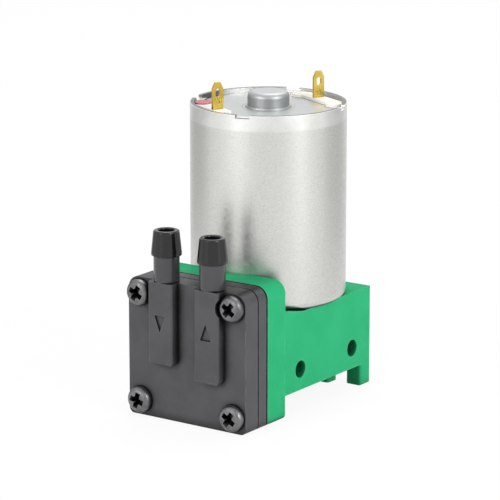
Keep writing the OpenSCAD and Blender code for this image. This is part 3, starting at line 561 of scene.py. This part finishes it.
def round_edges(shape, width, segments=3, where=None):
    """Rounds every sharp edge, or those for which where(edge) holds."""
    sharp = [edge for edge in shape.edges
             if edge.is_manifold and edge.calc_face_angle(0) > SHARP_ANGLE and (where is None or where(edge))]
    bmesh.ops.bevel(shape, geom=sharp, offset=width, offset_type="OFFSET", segments=segments, profile=0.5,
                    affect="EDGES", clamp_overlap=True, material=-1, loop_slide=True)
    return shape


def arc(centre_r, centre_z, radius, start, end, steps):
    """Points of a round stretch of a profile, as radius and height."""
    turn = [radians(start + (end - start) * step / steps) for step in range(steps + 1)]
    return [(centre_r + radius * cos(angle), centre_z + radius * sin(angle)) for angle in turn]


def turned(profile, centre, steps):
    """Profile of radius and height, closed or from axis to axis, spun about a vertical axis."""
    shape = bmesh.new()
    corners = [shape.verts.new((centre[0] + r, centre[1], z)) for r, z in profile]
    links = range(len(corners) if profile[0][0] > 0 else len(corners) - 1)
    edges = [shape.edges.new((corners[i], corners[(i + 1) % len(corners)])) for i in links]
    bmesh.ops.spin(shape, geom=corners + edges, cent=(centre[0], centre[1], 0), axis=(0, 0, 1),
                   angle=2 * pi, steps=steps, use_merge=True, use_duplicate=False)
    bmesh.ops.remove_doubles(shape, verts=shape.verts, dist=MERGE_DISTANCE)
    bmesh.ops.recalc_face_normals(shape, faces=shape.faces)
    return shape


def carve(shape, cutters, operation="DIFFERENCE"):
    """Cuts closed cutters out of a closed shape, or joins them to it, and gives the new shape."""
    things = []
    for name, part in (("carved", shape), ("cutter", cutters)):
        bmesh.ops.triangulate(part, faces=[face for face in part.faces if len(face.verts) > 4])
        things.append(mesh_object(name, part))
    block, tool = things
    cut = block.modifiers.new("cut", "BOOLEAN")
    cut.operation, cut.solver, cut.object = operation, "EXACT", tool
    carved = bmesh.new()
    carved.from_object(block, bpy.context.evaluated_depsgraph_get())
    bmesh.ops.remove_doubles(carved, verts=carved.verts, dist=MERGE_DISTANCE)
    bmesh.ops.dissolve_degenerate(carved, dist=MERGE_DISTANCE, edges=carved.edges)
    for thing in things:
        mesh = thing.data
        bpy.data.objects.remove(thing)
        bpy.data.meshes.remove(mesh)
    return carved


def corners_of(geometry):
    """Corners among the new geometry of an extrusion."""
    return [item for item in geometry if isinstance(item, bmesh.types.BMVert)]


def draw_out(shape, faces, along):
    """Draws faces out along a vector, which closes the shape."""
    grown = bmesh.ops.extrude_face_region(shape, geom=faces)["geom"]
    bmesh.ops.translate(shape, vec=along, verts=corners_of(grown))
    bmesh.ops.recalc_face_normals(shape, faces=shape.faces)


def prism(shape, corners, along):
    """Adds a closed prism: a face over the corners, drawn out along a vector."""
    draw_out(shape, [shape.faces.new([shape.verts.new(corner) for corner in corners])], along)


# Studio shading

def seen_directly(tree):
    """1 for the rays that show the backdrop itself: camera, mirrored and see-through ones."""
    path = add(tree, "ShaderNodeLightPath", (-400, 200)).outputs
    seen = math_node(tree, "MAXIMUM", path["Is Camera Ray"], path["Is Glossy Ray"])
    return math_node(tree, "MAXIMUM", seen, path["Is Transmission Ray"])


def mix_to_output(tree, kind, share, first, second):
    """Sends a mix of two shaders to the output."""
    mix = add(tree, "ShaderNodeMixShader", (300, 0))
    for value, entry in zip((share, first.outputs[0], second.outputs[0]), mix.inputs):
        tree.links.new(value, entry)
    output = add(tree, kind, (500, 0))
    tree.links.new(mix.outputs[0], output.inputs["Surface"])


class PUMP_OT_stage(bpy.types.Operator):
    """Adds the floor, the soft studio light and the camera"""

    bl_idname = "pump.stage"
    bl_label = "Add Studio"

    def execute(self, context):
        stage = context.scene.pump_stage
        self.floor()
        self.world(context.scene, stage.sky)
        for name, turn, rise, reach, size, power in (
            ("Key", 46, 24, 0.62, 0.26, stage.key),
            ("Fill", -46, 20, 0.62, 0.24, stage.fill),
            ("Top", 160, 62, 0.70, 0.50, stage.top),
        ):
            self.lamp(stage, name, self.spot(stage, turn, rise, reach), size, power)
        for name, turn, shade, slim in (
            ("card_right", 112, 0.68, 1.0),
            ("card_left", -122, 0.61, 1.0),
            ("card_key", 48, 1.45, 0.30),
            ("card_peak", -42, 1.20, 0.40),
        ):
            self.card(stage, name, turn, shade, slim)
        self.camera(context.scene, stage)
        context.scene.view_settings.view_transform = "Standard"
        return {"FINISHED"}

    def spot(self, stage, turn, rise, reach):
        """Point round the pump at an angle from the camera's side."""
        angle = stage.azimuth - pi / 2 + radians(turn)
        flat = reach * cos(radians(rise))
        return Vector((flat * cos(angle), flat * sin(angle), reach * sin(radians(rise)) + stage.target[2]))

    def square(self, name, half, slim=1.0):
        """Flat stage piece, narrowed by a share."""
        shape = bmesh.new()
        bmesh.ops.create_grid(shape, x_segments=1, y_segments=1, size=half)
        bmesh.ops.scale(shape, vec=(slim, 1, 1), verts=shape.verts)
        piece = mesh_object(name, shape)
        return piece

    def floor(self):
        material = bpy.data.materials.new("Studio Floor")
        material.use_nodes = True
        tree = material.node_tree
        tree.nodes.clear()
        matt = add(tree, "ShaderNodeBsdfDiffuse", (0, 0), Color=(0.98, 0.98, 0.98, 1))
        glow = add(tree, "ShaderNodeEmission", (0, -200))
        share = math_node(tree, "MULTIPLY", seen_directly(tree), 0.90)
        mix_to_output(tree, "ShaderNodeOutputMaterial", share, matt, glow)
        self.square("studio_floor", 3.0).data.materials.append(material)

    def world(self, scene, strength):
        scene.world = bpy.data.worlds.new("Studio")
        scene.world.use_nodes = True
        tree = scene.world.node_tree
        tree.nodes.clear()
        light = add(tree, "ShaderNodeBackground", (0, 0), Color=(1, 1, 1, 1), Strength=strength)
        white = add(tree, "ShaderNodeBackground", (0, -200), Color=(1, 1, 1, 1))
        mix_to_output(tree, "ShaderNodeOutputWorld", seen_directly(tree), light, white)

    def card(self, stage, name, turn, shade, slim):
        """Card beside the pump, out of the picture, that only reflections show: grey or a bright strip."""
        card = self.square(name, 0.05, slim)
        card.location = self.spot(stage, turn, 0, 0.11)
        aim = Vector(stage.target) - card.location
        aim.z = 0
        card.rotation_euler = aim.to_track_quat("Z", "Y").to_euler()
        card.visible_camera = False
        card.visible_shadow = False
        card.visible_diffuse = False
        material = bpy.data.materials.new(name)
        material.use_nodes = True
        shader = material.node_tree.nodes["Principled BSDF"]
        for key, value in (("Base Color", (0, 0, 0, 1)), ("Specular IOR Level", 0),
                           ("Emission Color", (shade, shade, shade, 1)), ("Emission Strength", 1)):
            shader.inputs[key].default_value = value
        card.data.materials.append(material)

    def lamp(self, stage, name, spot, size, power):
        data = bpy.data.lights.new(name, "AREA")
        data.shape = "SQUARE"
        data.size = size
        data.energy = power
        lamp = bpy.data.objects.new(name, data)
        bpy.context.scene.collection.objects.link(lamp)
        lamp.location = spot
        aim = Vector(stage.target) - lamp.location
        lamp.rotation_euler = aim.to_track_quat("-Z", "Y").to_euler()

    def camera(self, scene, stage):
        data = bpy.data.cameras.new("Photo Camera")
        data.sensor_width = 36
        data.lens = stage.lens
        data.clip_start, data.clip_end = 0.01, 20
        camera = bpy.data.objects.new("Photo Camera", data)
        scene.collection.objects.link(camera)
        back = Vector((sin(stage.azimuth) * cos(stage.elevation),
                       -cos(stage.azimuth) * cos(stage.elevation), sin(stage.elevation)))
        camera.location = Vector(stage.target) + back * stage.distance
        camera.rotation_euler = (-back).to_track_quat("-Z", "Y").to_euler()
        scene.camera = camera


class PUMP_OT_finishes(bpy.types.Operator):
    """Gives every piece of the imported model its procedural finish"""

    bl_idname = "pump.finishes"
    bl_label = "Apply Finishes"

    def execute(self, context):
        colours, sizes = context.scene.pump_colours, context.scene.pump_sizes
        self.give(body_plastic(colours), "pump_body", "bottom_cover")
        self.give(head_plastic(colours), "valve_plate", "head_cover")
        self.give(barb_plastic(colours), "inlet_barb", "outlet_barb")
        self.give(can_nickel(colours, sizes), "motor_can")
        self.give(bell_plating(colours), "end_bell")
        # The screws get painted shade round and inside their heads.
        screw = plain_metal("Blackened Screws", colours.screw, 0.36, cloud=0.5, wear=0.8, fine=1900,
                            painted_shade=(1.3 * MM, 0.20, 1.0, 0.80, 0.45), relief=1.0)
        self.give(screw, "head_screws", "motor_screws", "clamp_screw")
        for name, colour, roughness, nodes in (
            ("Polished Steel", (0.62, 0.62, 0.63), 0.22,
             ("bearing_outer_ring", "bearing_inner_ring", "bearing_balls", "motor_shaft", "clamp_disc",
              "magnet_clip")),
            ("Terminal Brass", colours.brass, 0.28,
             ("terminal_left", "terminal_right", "brush_arms", "bearing_cage", "eccentric")),
            ("Sintered Bronze", (0.40, 0.25, 0.12), 0.45, ("drive_end_bearing", "rear_bearing")),
            ("Winding Copper", (0.62, 0.26, 0.12), 0.30, ("windings", "commutator")),
            ("Core Steel", (0.20, 0.20, 0.21), 0.45, ("armature_core",)),
        ):
            self.give(plain_metal(name, colour, roughness), *nodes)
        for name, colour, roughness, nodes in (
            ("Moulded Rubber", (0.02, 0.02, 0.02), 0.62,
             ("cover_seal", "diaphragm", "inlet_valve", "outlet_valve")),
            ("Sintered Magnet", (0.05, 0.05, 0.055), 0.55, ("magnets",)),
            ("Brush Carbon", (0.03, 0.03, 0.03), 0.5, ("brushes",)),
            ("Brush Board", (0.16, 0.08, 0.03), 0.55, ("brush_plate",)),
            ("White Fibre", (1.0, 1.0, 0.97), 0.75, ("insulator_left",)),
            ("Cream Fibre", (1.0, 0.97, 0.88), 0.75, ("insulator_right", "shaft_washers")),
            ("Red Fibre", (0.55, 0.165, 0.20), 0.6, ("polarity_washer",)),
        ):
            self.give(plain_matt(name, colour, roughness), *nodes)
        self.give(plain_matt("Rod Plastic", (0.55, 0.55, 0.53), 0.45, relief=0.1), "connecting_rod")
        return {"FINISHED"}

    def give(self, material, *nodes):
        """Gives CAD nodes a finish."""
        for node in nodes:
            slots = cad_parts[node].data.materials
            slots.clear()
            slots.append(material)


def head_outline(inset, steps=12):
    """Outline of the head, drawn in by an inset, with its larger corners above and smaller ones below."""
    half, points = COVER_HIGH.x, []
    top, foot = COVER_HIGH.z - TOP_CORNER, COVER_LOW.z + FOOT_CORNER
    for side, centre_z, radius, start in ((1, top, TOP_CORNER, 0), (-1, top, TOP_CORNER, 90),
                                          (-1, foot, FOOT_CORNER, 180), (1, foot, FOOT_CORNER, 270)):
        points += arc(side * (half - radius), centre_z, radius - inset, start, start + 90, steps)
    return points


class PUMP_OT_mouldings(bpy.types.Operator):
    """Rounds the edges of the moulded body, the bottom cover, the valve plate and the head cover"""

    bl_idname = "pump.mouldings"
    bl_label = "Round Mouldings"

    def execute(self, context):
        sizes = context.scene.pump_sizes
        for node, material, slot, width in (
            ("pump_body", "Green Moulding", "body_green", sizes.moulded_edge),
            ("bottom_cover", "Green Moulding", "body_green", sizes.moulded_edge),
            ("valve_plate", "Black Moulding", "head_black", sizes.plate_edge),
            ("head_cover", "Black Moulding", "head_black", sizes.moulded_edge),
        ):
            shape = joined_copy(node)
            if node == "pump_body":
                shape = carve(shape, self.cheeks(), "UNION")
            whole_faces(shape)
            if node == "head_cover":
                round_edges(shape, sizes.channel_corner, 5, self.on_channel_foot)
                round_edges(shape, sizes.cover_edge, 4, self.on_cover_front)
            if node == "valve_plate":
                for groove in self.grooves(sizes):
                    shape = carve(shape, groove)
            round_edges(shape, width)
            if node == "head_cover":
                shape = carve(shape, self.flow_marks(sizes))
            place_piece("dressed_" + node, shape, FRAME_BODY, material, slot, (node,))
        return {"FINISHED"}

    def grooves(self, sizes):
        """Rings that cut the two narrow seams beside the plate."""
        lip, outward = 0.06 * MM, (1.2, 1, 1.2)
        for start, end in ((COVER_HIGH.y - lip, COVER_HIGH.y + sizes.front_seam),
                           (FLANGE_FRONT - lip - sizes.rear_seam, FLANGE_FRONT - lip)):
            ring = bmesh.new()
            corners = [ring.verts.new((x, start, z)) for x, z in head_outline(sizes.seam_depth)]
            edges = [ring.edges.new((a, b)) for a, b in zip(corners, corners[1:] + corners[:1])]
            outer = bmesh.ops.extrude_edge_only(ring, edges=edges)["geom"]
            centre = Matrix.Translation((0, 0, -(COVER_LOW.z + COVER_HIGH.z) / 2))
            bmesh.ops.scale(ring, vec=outward, space=centre, verts=corners_of(outer))
            draw_out(ring, ring.faces[:], (0, end - start, 0))
            yield ring

    def cheeks(self):
        """Cheeks of the body that rise beside the can's lower edge, just behind the flange."""
        shape = bmesh.new()
        back, thick = FLANGE_FRONT + 4.6 * MM, 0.8 * MM
        side = ((0, -0.6), (0, 1.09), (1.97, 0.70), (3.17, 0.44), (4.57, 0.17), (5.7, -0.01), (5.7, -0.6))
        for wall, inward in ((-BLOCK_SIDE, thick), (BLOCK_SIDE, -thick)):
            prism(shape, [(wall, back + y * MM, SEAT_Z + z * MM) for y, z in side], (inward, 0, 0))
        return shape

    def on_channel_foot(self, edge):
        """Upright corner at the lower end of a channel."""
        first, second = (corner.co for corner in edge.verts)
        along = abs(first.y - second.y)
        return (along > 0.5 * CHANNEL_PROUD and min(first.y, second.y) < COVER_LOW.y + NEAR
                and along > 0.99 * (first - second).length and first.z < COVER_HIGH.z - 5 * MM)

    def on_cover_front(self, edge):
        """Front edges of the channels and of the cover, round its corners too."""
        if all(corner.co.y < COVER_LOW.y + NEAR for corner in edge.verts):
            return min(corner.co.z for corner in edge.verts) < COVER_HIGH.z - MM
        for corner in edge.verts:
            x, z = abs(corner.co.x), corner.co.z
            on_side = abs(x - COVER_HIGH.x) < NEAR or min(z - COVER_LOW.z, COVER_HIGH.z - z) < NEAR
            for radius, centre_z in ((TOP_CORNER, COVER_HIGH.z - TOP_CORNER),
                                     (FOOT_CORNER, COVER_LOW.z + FOOT_CORNER)):
                off = Vector((x - COVER_HIGH.x + radius, z - centre_z))
                on_side = on_side or (off.x > 0 and abs(off.length - radius) < NEAR)
            if abs(corner.co.y - COVER_LOW.y - CHANNEL_PROUD) > NEAR or not on_side:
                return False
        return True

    def flow_marks(self, sizes):
        """Prisms that engrave a triangle on each channel: down on the inlet, up on the outlet."""
        shape = bmesh.new()
        below_barb, start = 4.45 * MM, COVER_LOW.y - MM
        for port, up in (("inlet_barb", -1), ("outlet_barb", 1)):
            low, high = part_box(port)
            x, z = (low.x + high.x) / 2, low.z - below_barb
            half_w, half_h = sizes.mark_width / 2, up * sizes.mark_height / 2
            corners = (x - half_w, z - half_h), (x + half_w, z - half_h), (x, z + half_h)
            prism(shape, [(x, start, z) for x, z in corners], (0, MM + sizes.mark_depth, 0))
        return shape


class PUMP_OT_screws(bpy.types.Operator):
    """Makes the four pan-head screws with their flared cross recesses"""

    bl_idname = "pump.screws"
    bl_label = "Make Screws"

    def execute(self, context):
        low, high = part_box("head_screws")
        inset, seat = 2 * MM, COVER_LOW.y + 2.05 * MM
        left, right, foot, top = low.x + inset, high.x - inset, low.z + inset, high.z - inset
        shape = bmesh.new()
        slots, cores = (bmesh.new(), bmesh.new()), bmesh.new()
        for x, z, turn in ((left, top, 28), (right, top, 36), (left, foot, 14), (right, foot, 32)):
            centre = (x, seat, z)
            self.head(shape, centre, high.y - seat)
            for cutters, quarter in zip(slots, (0, 90)):
                self.recess(cutters, centre, radians(turn + quarter))
            self.core(cores, centre, radians(turn))
        for cutters in (*slots, cores):
            shape = carve(shape, cutters)
        place_piece("dressed_head_screws", shape, FRAME_BODY, "Blackened Screws", "screw_steel",
                    ("head_screws",))
        return {"FINISHED"}

    def head(self, shape, centre, shank):
        """Adds a screw with a rounded head and a plain shank."""
        radius, top, dome, edge = 2.08 * MM, 1.75 * MM, 0.95 * MM, 0.08 * MM
        profile = [(0, -shank), (0.9 * MM, -shank), (0.97 * MM, 0), (radius - edge, 0), (radius, edge)]
        profile += arc(radius - dome, top - dome, dome, 0, 72, 8)
        profile += [(radius * 0.35, top), (0, top)]
        made = turned(profile, (0, 0), 48)
        forward = Matrix.Translation(centre) @ Matrix.Rotation(pi / 2, 4, "X")
        bmesh.ops.transform(made, matrix=forward, verts=made.verts)
        mesh = bpy.data.meshes.new("screw")
        made.to_mesh(mesh)
        made.free()
        shape.from_mesh(mesh)
        bpy.data.meshes.remove(mesh)

    def core(self, cutters, centre, angle):
        """Eight-sided pit in the middle of the cross, where its arms meet."""
        face, depth, wide, narrow = centre[1] - RECESS_RIM, 1.5 * MM, 0.85 * MM, 0.3 * MM
        turn = Matrix.Rotation(angle + pi / 8, 4, "Y") @ Matrix.Rotation(-pi / 2, 4, "X")
        place = Matrix.Translation((centre[0], face + depth / 2, centre[2])) @ turn
        bmesh.ops.create_cone(cutters, cap_ends=True, segments=8, radius1=wide, radius2=narrow, depth=depth,
                              matrix=place)

    def recess(self, cutters, centre, angle):
        """Slot across the head that narrows towards its bottom, one of the two that make the cross."""
        face, depth, reach, half = centre[1] - RECESS_RIM, 1.55 * MM, 1.30 * MM, 0.46 * MM
        block = Matrix.Diagonal((2 * reach, depth, 2 * half, 1))
        made = bmesh.ops.create_cube(cutters, size=1, matrix=block)["verts"]
        bmesh.ops.scale(cutters, vec=(0.5, 1, 0.6), verts=[corner for corner in made if corner.co.y > 0])
        turn = Matrix.Rotation(angle, 4, "Y")
        place = Matrix.Translation((centre[0], face + depth / 2, centre[2])) @ turn
        bmesh.ops.transform(cutters, matrix=place, verts=made)


class PUMP_OT_barbs(bpy.types.Operator):
    """Turns the two hose barbs with their rounded shoulders and lead-in"""

    bl_idname = "pump.barbs"
    bl_label = "Turn Barbs"

    def execute(self, context):
        sizes = context.scene.pump_sizes
        stem, spigot, bore = 2.0 * MM, 1.6 * MM, 1.25 * MM
        foot, shoulder = FLANGE_TOP, FLANGE_TOP + SHOULDER_HEIGHT
        for node in ("inlet_barb", "outlet_barb"):
            low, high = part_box(node)
            centre = ((low.x + high.x) / 2, (low.y + high.y) / 2)
            wide, tip = (high.x - low.x) / 2, high.z
            nose = wide - 0.325 * MM
            profile = [(bore, low.z), (spigot, low.z), (spigot, foot), (stem - 0.12 * MM, foot),
                       (stem, foot + 0.15 * MM), (stem, shoulder - 0.12 * MM),
                       (stem + 0.1 * MM, shoulder - 0.02 * MM)]
            profile += arc(wide - 0.1 * MM, shoulder + 0.1 * MM, 0.1 * MM, -90, 0, 4)
            profile += arc(wide - 0.14 * MM, shoulder + 0.45 * MM, 0.14 * MM, 0, 8, 2)
            profile += arc(nose - 0.3 * MM, tip - 0.3 * MM, 0.3 * MM, 8, 90, 6)
            profile += arc(bore + 0.2 * MM, tip - 0.2 * MM, 0.2 * MM, 90, 180, 5)
            shape = turned(profile, centre, sizes.turns)
            place_piece("dressed_" + node, shape, FRAME_BODY, "Barb Moulding", "head_black", (node,))
        return {"FINISHED"}


class PUMP_OT_motor(bpy.types.Operator):
    """Rounds the can, the end bell, the insulators and the terminals, and cuts the terminals' eyes"""

    bl_idname = "pump.motor"
    bl_label = "Make Motor Shell"

    def execute(self, context):
        sizes = context.scene.pump_sizes
        for node, material, slot, width, steps in (
            ("motor_can", "Can Nickel", "can_steel", sizes.rim_edge, 3),
            ("end_bell", "End Bell Plating", "bell_steel", sizes.metal_edge, 2),
            ("terminal_left", "Terminal Brass", "brass", sizes.metal_edge, 2),
            ("terminal_right", "Terminal Brass", "brass", sizes.metal_edge, 2),
            ("insulator_left", "White Fibre", "fibre_white", sizes.metal_edge, 2),
            ("insulator_right", "Cream Fibre", "fibre_cream", sizes.metal_edge, 2),
            ("polarity_washer", "Red Fibre", "fibre_red", sizes.metal_edge, 2),
        ):
            shape = whole_faces(joined_copy(node))
            if node in ("terminal_left", "terminal_right"):
                shape = carve(shape, self.terminal_eyes(node))
            if node == "insulator_left":
                shape = carve(shape, self.lobe_end())
            round_edges(shape, width, steps)
            place_piece("dressed_" + node, shape, FRAME_BODY, material, slot, (node,))
        return {"FINISHED"}

    def terminal_eyes(self, node):
        """Upright slot through a terminal's hole, and a round dent below it in both faces."""
        low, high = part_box(node)
        side = Vector((cos(TERMINAL_TURN), sin(TERMINAL_TURN), 0))
        through = Vector((-side.y, side.x, 0)) * MM
        centre = Vector(((low.x + high.x) / 2, (low.y + high.y) / 2, 0))
        half = 0.42 * MM
        slot = arc(0, high.z - 1.4 * MM, half, 0, 180, 8) + arc(0, high.z - 1.9 * MM, half, 180, 360, 8)
        dent = arc(0, high.z - 3.1 * MM, 0.3 * MM, 0, 337.5, 15)
        shape = bmesh.new()
        for outline, start, depth in ((slot, -0.5, 1), (dent, -0.5, 0.42), (dent, 0.08, 0.42)):
            corners = [centre + side * r + through * start + Vector((0, 0, z)) for r, z in outline]
            prism(shape, corners, through * depth)
        return shape

    def lobe_end(self):
        """Wedge that shortens the left insulator's front lobe."""
        shape = bmesh.new()
        reach, floor = 14 * MM, BELL_Z - 0.02 * MM
        turns = [radians(angle) for angle in (262, 280, 300)]
        rim = [(reach * cos(turn), MOTOR_Y + reach * sin(turn), floor) for turn in turns]
        prism(shape, [(0, MOTOR_Y, floor)] + rim, (0, 0, 2 * MM))
        return shape


class PUMP_PT_panel(bpy.types.Panel):
    """Lists the pump's colours, sizes, studio and steps"""

    bl_label = "Mini Diaphragm Pump"
    bl_space_type = "VIEW_3D"
    bl_region_type = "UI"
    bl_category = "Pump"

    def draw(self, context):
        layout = self.layout
        for group in (context.scene.pump_colours, context.scene.pump_sizes, context.scene.pump_stage):
            box = layout.box()
            for key in group.__annotations__:
                box.prop(group, key)
        for operator in OPERATORS:
            layout.operator(operator.bl_idname)


SETTINGS = {"pump_colours": PumpColours, "pump_sizes": PumpSizes, "pump_stage": PumpStage}
OPERATORS = (PUMP_OT_stage, PUMP_OT_finishes, PUMP_OT_mouldings, PUMP_OT_screws, PUMP_OT_barbs,
             PUMP_OT_motor)
CLASSES = (*SETTINGS.values(), *OPERATORS, PUMP_PT_panel)


def register():
    for cls in CLASSES:
        bpy.utils.register_class(cls)
    for name, group in SETTINGS.items():
        setattr(bpy.types.Scene, name, PointerProperty(type=group))


def unregister():
    for name in SETTINGS:
        delattr(bpy.types.Scene, name)
    for cls in reversed(CLASSES):
        bpy.utils.unregister_class(cls)


def main():
    register()
    bpy.ops.pump.stage()
    bpy.ops.pump.finishes()
    bpy.ops.pump.mouldings()
    bpy.ops.pump.screws()
    bpy.ops.pump.barbs()
    bpy.ops.pump.motor()


if __name__ == "__main__":
    main()
